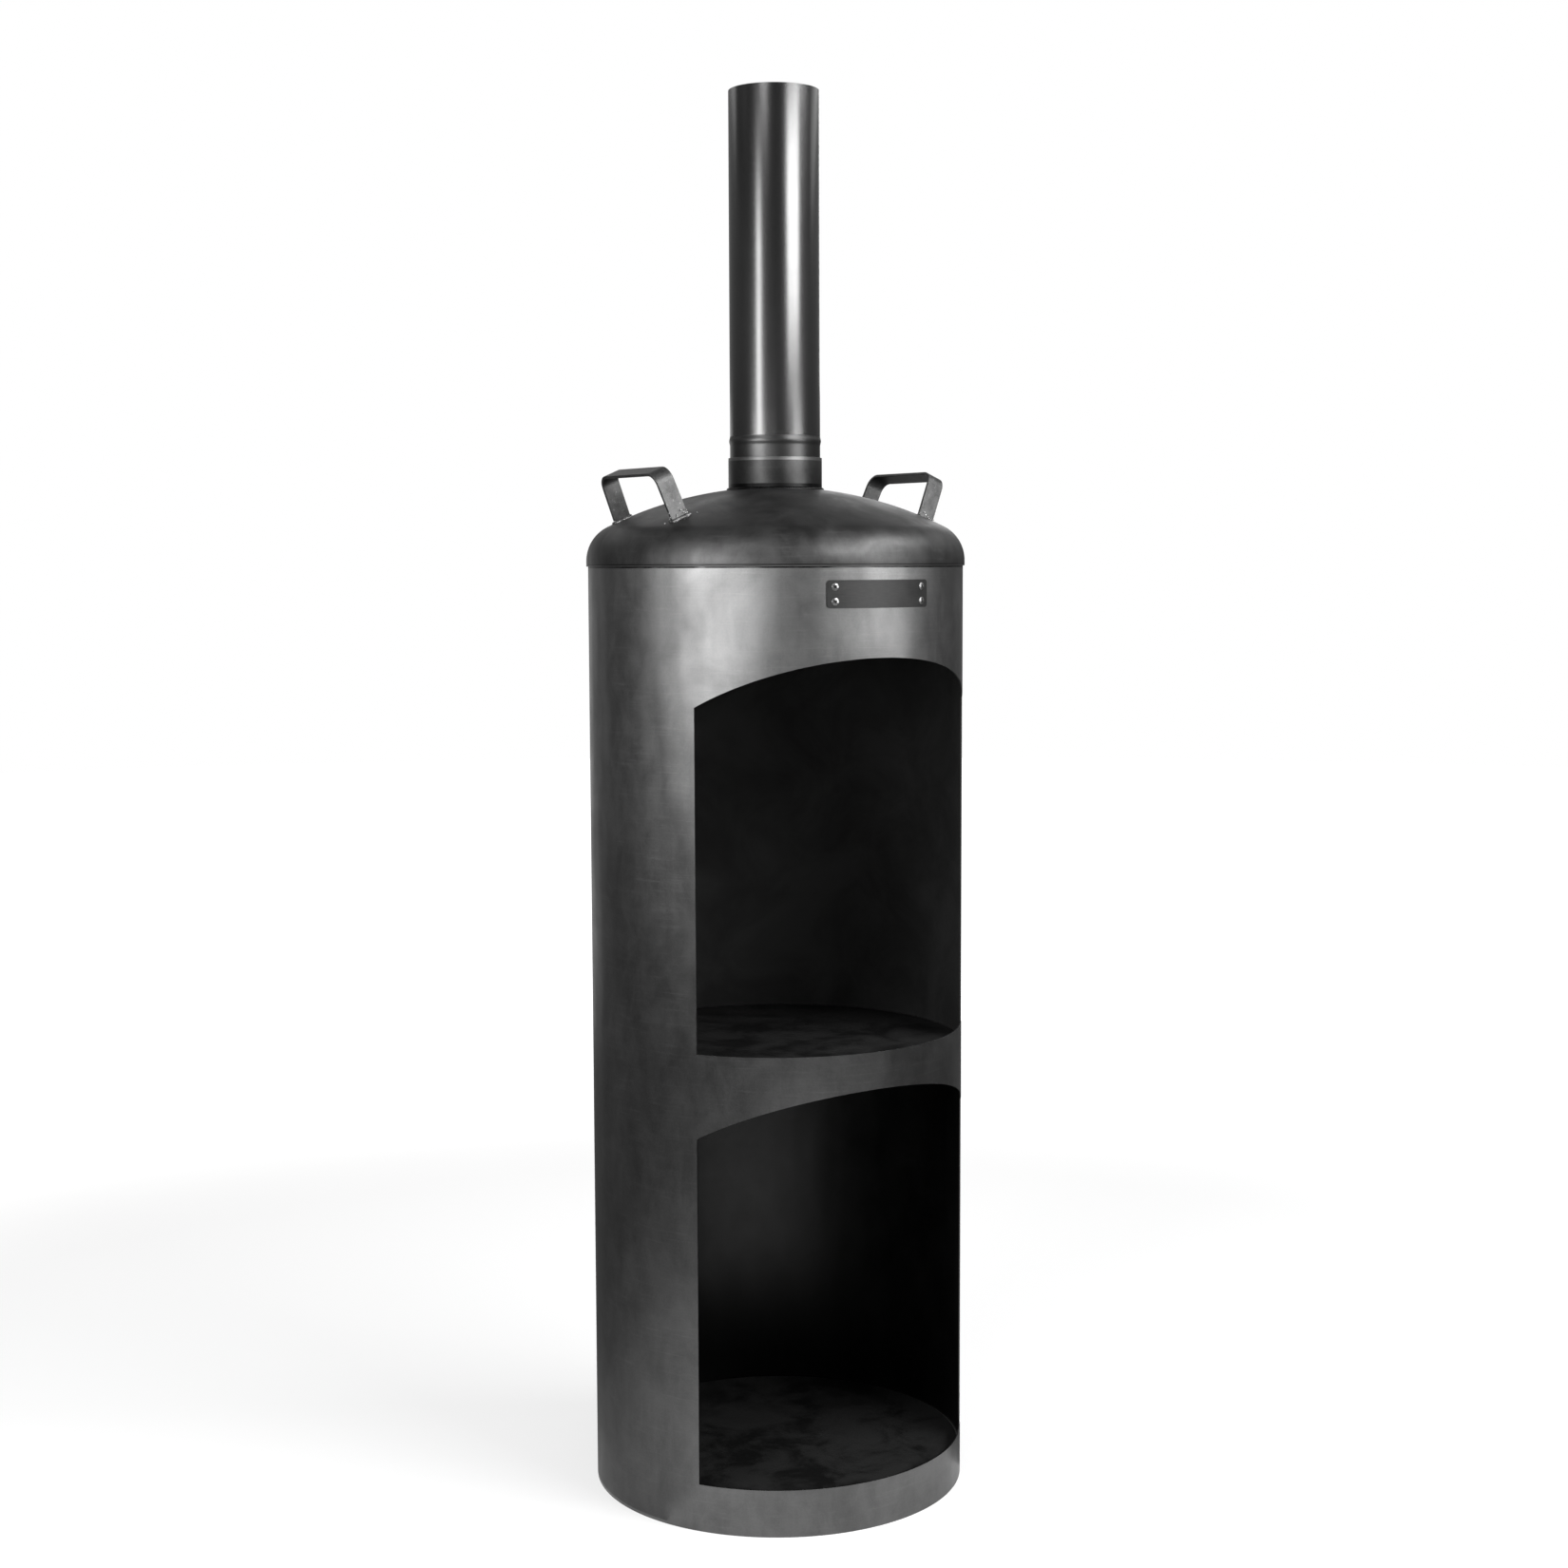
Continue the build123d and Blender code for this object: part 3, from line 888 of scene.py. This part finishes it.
def bent_bar(side):
    """The bar's outline carried up one leg, round the bends and down the other leg."""
    leg = Vector((foot_x - grip_x, grip_y, 0)).normalized()
    inward = Vector((leg.y, -leg.x, 0))
    bend = HANDLE_BEND + BAR_THICKNESS / 2
    turn = acos(leg.x)
    tangent = bend * tan(turn / 2)
    corner = Vector((-grip_x, grip_y, 0))
    start = corner - leg * (HANDLE_HEIGHT + FOOT_SPARE)
    form = bmesh.new()
    ring = []
    for across, wide in ((-1, -1), (1, -1), (1, 1), (-1, 1)):
        edge = Vector((0, 0, wide * BAR_WIDTH / 2))
        ring.append(start + inward * across * BAR_THICKNESS / 2 + edge)
    closed_outline(form, ring)

    def pushed(edges, way):
        made = bmesh.ops.extrude_edge_only(form, edges=edges)["geom"]
        corners = [part for part in made if isinstance(part, bmesh.types.BMVert)]
        bmesh.ops.translate(form, verts=corners, vec=way)
        return [part for part in made if isinstance(part, bmesh.types.BMEdge)]

    def bent(edges, middle):
        made = bmesh.ops.spin(form, geom=edges, cent=middle, axis=(0, 0, -1), angle=turn, steps=12)
        return [part for part in made["geom_last"] if isinstance(part, bmesh.types.BMEdge)]

    first = corner - leg * tangent
    edges = pushed(form.edges[:], first - start)
    edges = bent(edges, first + inward * bend)
    edges = pushed(edges, Vector((2 * (grip_x - tangent), 0, 0)))
    edges = bent(edges, Vector((grip_x - tangent, grip_y - bend, 0)))
    pushed(edges, Vector((leg.x, -leg.y, 0)) * (HANDLE_HEIGHT + FOOT_SPARE - tangent))
    bmesh.ops.transform(form, matrix=handle_frame(side), verts=form.verts[:])
    for end in (-1, 1):
        foot = handle_foot(side, end)
        square = crown_normal(foot)
        parts = {}            # each once, in the order that they are met
        for face in form.faces:
            if (face.calc_center_median() - foot).length < 2 * BAR_WIDTH:
                parts.update(dict.fromkeys((*face.verts, *face.edges, face)))
        bmesh.ops.bisect_plane(
            form,
            geom=list(parts),
            plane_co=foot - square * FOOT_SINK,
            plane_no=-square,
            clear_outer=True,
        )
    bmesh.ops.holes_fill(form, edges=[edge for edge in form.edges if edge.is_boundary], sides=8)
    bmesh.ops.recalc_face_normals(form, faces=form.faces[:])
    return form


def bar_steel():
    """Hot-rolled flat bar: lighter and darker grey, with a few bright rubs."""
    skin = Finish("bar_steel")
    cloud = skin.noise(38.0, 5.0, 0.65)
    grain = skin.noise(650.0, 3.0, 0.6)
    rub = skin.noise(160.0, 5.0, 0.7)
    share = cloud.swing(1.3) + grain.swing(0.5) + 0.5
    colour = skin.tint(share.step(0.1, 0.9), 0.045, 0.13)
    colour = skin.tint(rub.step(0.60, 0.72) * 0.7, colour, 0.24)
    rough = cloud.swing(0.2) + grain.swing(0.15) + 0.50
    bump = skin.bump(0.4, 0.0002, grain + cloud)
    return skin.metal({"Base Color": colour, "Roughness": rough, "Normal": bump})


bar_finish = bar_steel()
bead_weld = weld_metal("bead_weld", tone=0.12, gloss=0.42)
bright_weld = weld_metal("bright_weld", tone=0.45, gloss=0.34)


def round_foot(side, end):
    """The corner between one foot of a handle and the crown, as a closed path."""
    middle = handle_foot(side, end)
    square = crown_normal(middle)
    wide = (handle_frame(side).to_3x3() @ Vector((0, 0, 1))).normalized()
    wide = (wide - square * wide.dot(square)).normalized()
    thick = square.cross(wide)
    half_wide, half_thick = BAR_WIDTH / 2, BAR_THICKNESS / 2
    runs = [(wide, thick, half_wide, half_thick), (thick, -wide, half_thick, half_wide)]
    runs += [(-wide, -thick, half_wide, half_thick), (-thick, wide, half_thick, half_wide)]

    def corner(share):
        reach = share * 4 * (half_wide + half_thick)
        for along, out, half, away in runs:
            if reach <= 2 * half:
                break
            reach -= 2 * half
        place = reach - half
        lean = max(0.0, (abs(place) - half + BEAD_TURN) / BEAD_TURN) * (1 if place > 0 else -1)
        spot = middle + along * place + out * away
        return spot - square * BEAD_SINK, (out + along * lean).normalized(), square

    return corner


def spatter(name, corner, seed):
    """Drops of weld metal thrown on the crown round a bead and on the foot of the bar."""
    dice = random.Random(seed)
    form = bmesh.new()
    for drop in range(SPATTER_COUNT):
        spot, out, up = corner(dice.random())
        thrown = HANDLE_LEG + SPATTER_REACH * dice.random() ** 2
        place = Matrix.Translation(spot + (out if drop % 2 else up) * thrown)
        size = dice.uniform(*SPATTER_SIZES)
        bmesh.ops.create_icosphere(form, subdivisions=2, radius=size, matrix=place)
    drops = new_piece(name, form, smooth_to=70)
    drops.data.materials.append(bright_weld)
    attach(drops, "cap")
    return drops


for side, name in ((-1, "handle_left"), (1, "handle_right")):
    bar = new_piece(f"{name}_bar", bent_bar(side), smooth_to=35)
    ease_edges(bar, "rolled_edges", BAR_EDGE, segments=3, sharper_than=40)
    bar.data.materials.append(bar_finish)
    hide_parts(name)
    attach(bar, "cap")
    for end, place in ((-1, "near"), (1, "far")):
        corner = round_foot(side, end)
        bead = fillet_weld(
            f"{name}_bead_{place}",
            corner,
            HANDLE_LEG,
            count=240,
            ripples=26,
            seed=30 + end,
            finish=bead_weld,
        )
        drops = spatter(f"{name}_spatter_{place}", corner, seed=50 + 2 * side + end)
    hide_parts(f"{name}_welds")

# ---- Name plate ----
# A bare plate of 1 mm sheet with round corners, curved to the shell and lightly brushed
# along its length. Four blind rivets hold it.

PLATE_LENGTH = 0.155
PLATE_THICKNESS = 0.001
PLATE_CORNER = 0.0045
PLATE_EDGE = 0.00025
PLATE_GAP = 0.00005           # between the plate and the shell
PLATE_COLUMN = 0.004          # how wide its facets are
plate_low, plate_high = (corner.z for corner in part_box("name_plate"))
plate_middle = (plate_low + plate_high) / 2
plate_radius = SHELL_RADIUS + PLATE_GAP + PLATE_THICKNESS
corner_x = PLATE_LENGTH / 2 - PLATE_CORNER
corner_z = (plate_high - plate_low) / 2 - PLATE_CORNER


def plate_steel():
    """The plate's sheet: lightly brushed along its length."""
    skin = Finish("plate_steel")
    stroke = skin.noise(1400.0, 3.0, 0.6, stretch=(0.06, 0.06, 1.0))
    cloud = skin.noise(40.0, 4.0, 0.6)
    share = stroke.swing(0.8) + cloud.swing(0.8) + 0.5
    colour = skin.tint(share.step(0.0, 1.0), 0.030, 0.050)
    rough = cloud.swing(0.2) + stroke.swing(0.1) + 0.5
    bump = skin.bump(0.3, 0.00008, stroke)
    return skin.metal({"Base Color": colour, "Roughness": rough, "Normal": bump})


outline = []
for turn, along, up in ((180, -1, -1), (270, 1, -1), (0, 1, 1), (90, -1, 1)):
    middle = along * corner_x, plate_middle + up * corner_z
    outline += arc(*middle, PLATE_CORNER, radians(turn), radians(turn + 90), steps=8)
plate = new_piece("name_plate_bare", rolled(flat_sheet(outline), plate_radius, PLATE_COLUMN))
thicken(plate, PLATE_THICKNESS, PLATE_EDGE)
plate_finish = plate_steel()
plate.data.materials.append(plate_finish)
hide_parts("name_plate")
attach(plate, "stove_body")

# ---- Rivets ----
# Four aluminium blind rivets, one in each corner of the plate. Each is a low dome with the
# end of its steel mandrel in a small well in the middle.

RIVET_SPAN = 0.133            # along the plate
RIVET_RISE = 0.0183           # and across it
RIVET_RADIUS = 0.00475
RIVET_HEIGHT = 0.00115
RIVET_SHANK = 0.0024
RIVET_DEPTH = 0.0075          # its shank goes this far in
RIVET_BRIM = 0.25             # share of its height that stands straight up
WELL_EASE = 0.0003            # the eased edge of the well
WELL_FLOOR = 0.0003           # above the plate
MANDREL_RADIUS = 0.0019
MANDREL_GAP = 0.0001
MANDREL_FOOT = 0.0002
MANDREL_SHOULDER = 0.0005
MANDREL_BREAK = 0.0008, 0.0009          # its snapped end, from its side to its middle
AXIS_GAP = 0.0001             # the turned sections stop this near to the axis

head = [(RIVET_SHANK, -RIVET_DEPTH), (RIVET_SHANK, 0.0), (RIVET_RADIUS, 0.0)]
for turn in (0, 18, 36, 54):
    rise = RIVET_BRIM + (1 - RIVET_BRIM) * sin(radians(turn))
    head.append((RIVET_RADIUS * cos(radians(turn)), RIVET_HEIGHT * rise))
head += [(MANDREL_RADIUS + WELL_EASE, RIVET_HEIGHT), (MANDREL_RADIUS, RIVET_HEIGHT - WELL_EASE)]
head += [(MANDREL_RADIUS, WELL_FLOOR), (AXIS_GAP, WELL_FLOOR), (AXIS_GAP, -RIVET_DEPTH)]
mandrel_side = MANDREL_RADIUS - MANDREL_GAP
mandrel = [(AXIS_GAP, MANDREL_FOOT), (mandrel_side, MANDREL_FOOT)]
mandrel += [(mandrel_side, MANDREL_SHOULDER), (0.7 * MANDREL_RADIUS, MANDREL_BREAK[0])]
mandrel += [(AXIS_GAP, MANDREL_BREAK[1])]


def four_of(outline):
    """One turned shape at each corner of the plate."""
    form = bmesh.new()
    for across in (-1, 1):
        for row in (-1, 1):
            angle = across * RIVET_SPAN / 2 / plate_radius
            out = Vector((sin(angle), -cos(angle), 0))
            spot = out * plate_radius + Vector((0, 0, plate_middle + row * RIVET_RISE / 2))
            one = turned(outline, steps=32)
            place = Matrix.Translation(spot) @ out.to_track_quat("Z", "Y").to_matrix().to_4x4()
            bmesh.ops.transform(one, matrix=place, verts=one.verts[:])
            spare = bpy.data.meshes.new("rivet")
            one.to_mesh(spare)
            one.free()
            form.from_mesh(spare)
            bpy.data.meshes.remove(spare)
    return form


def dull_aluminium():
    """Plain aluminium, dulled by handling."""
    skin = Finish("rivet_aluminium")
    dull = skin.noise(500.0, 4.0, 0.6)
    colour = skin.tint(dull.step(0.3, 0.7), 0.15, 0.30)
    return skin.metal({"Base Color": colour, "Roughness": dull.swing(0.3) + 0.32})


heads = new_piece("rivet_heads", four_of(head), smooth_to=50)
heads.data.materials.append(dull_aluminium())
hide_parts("plate_rivets")
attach(heads, "stove_body")
mandrels = new_piece("rivet_mandrels", four_of(mandrel), smooth_to=50)
mandrels.data.materials.append(plate_finish)
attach(mandrels, "stove_body")
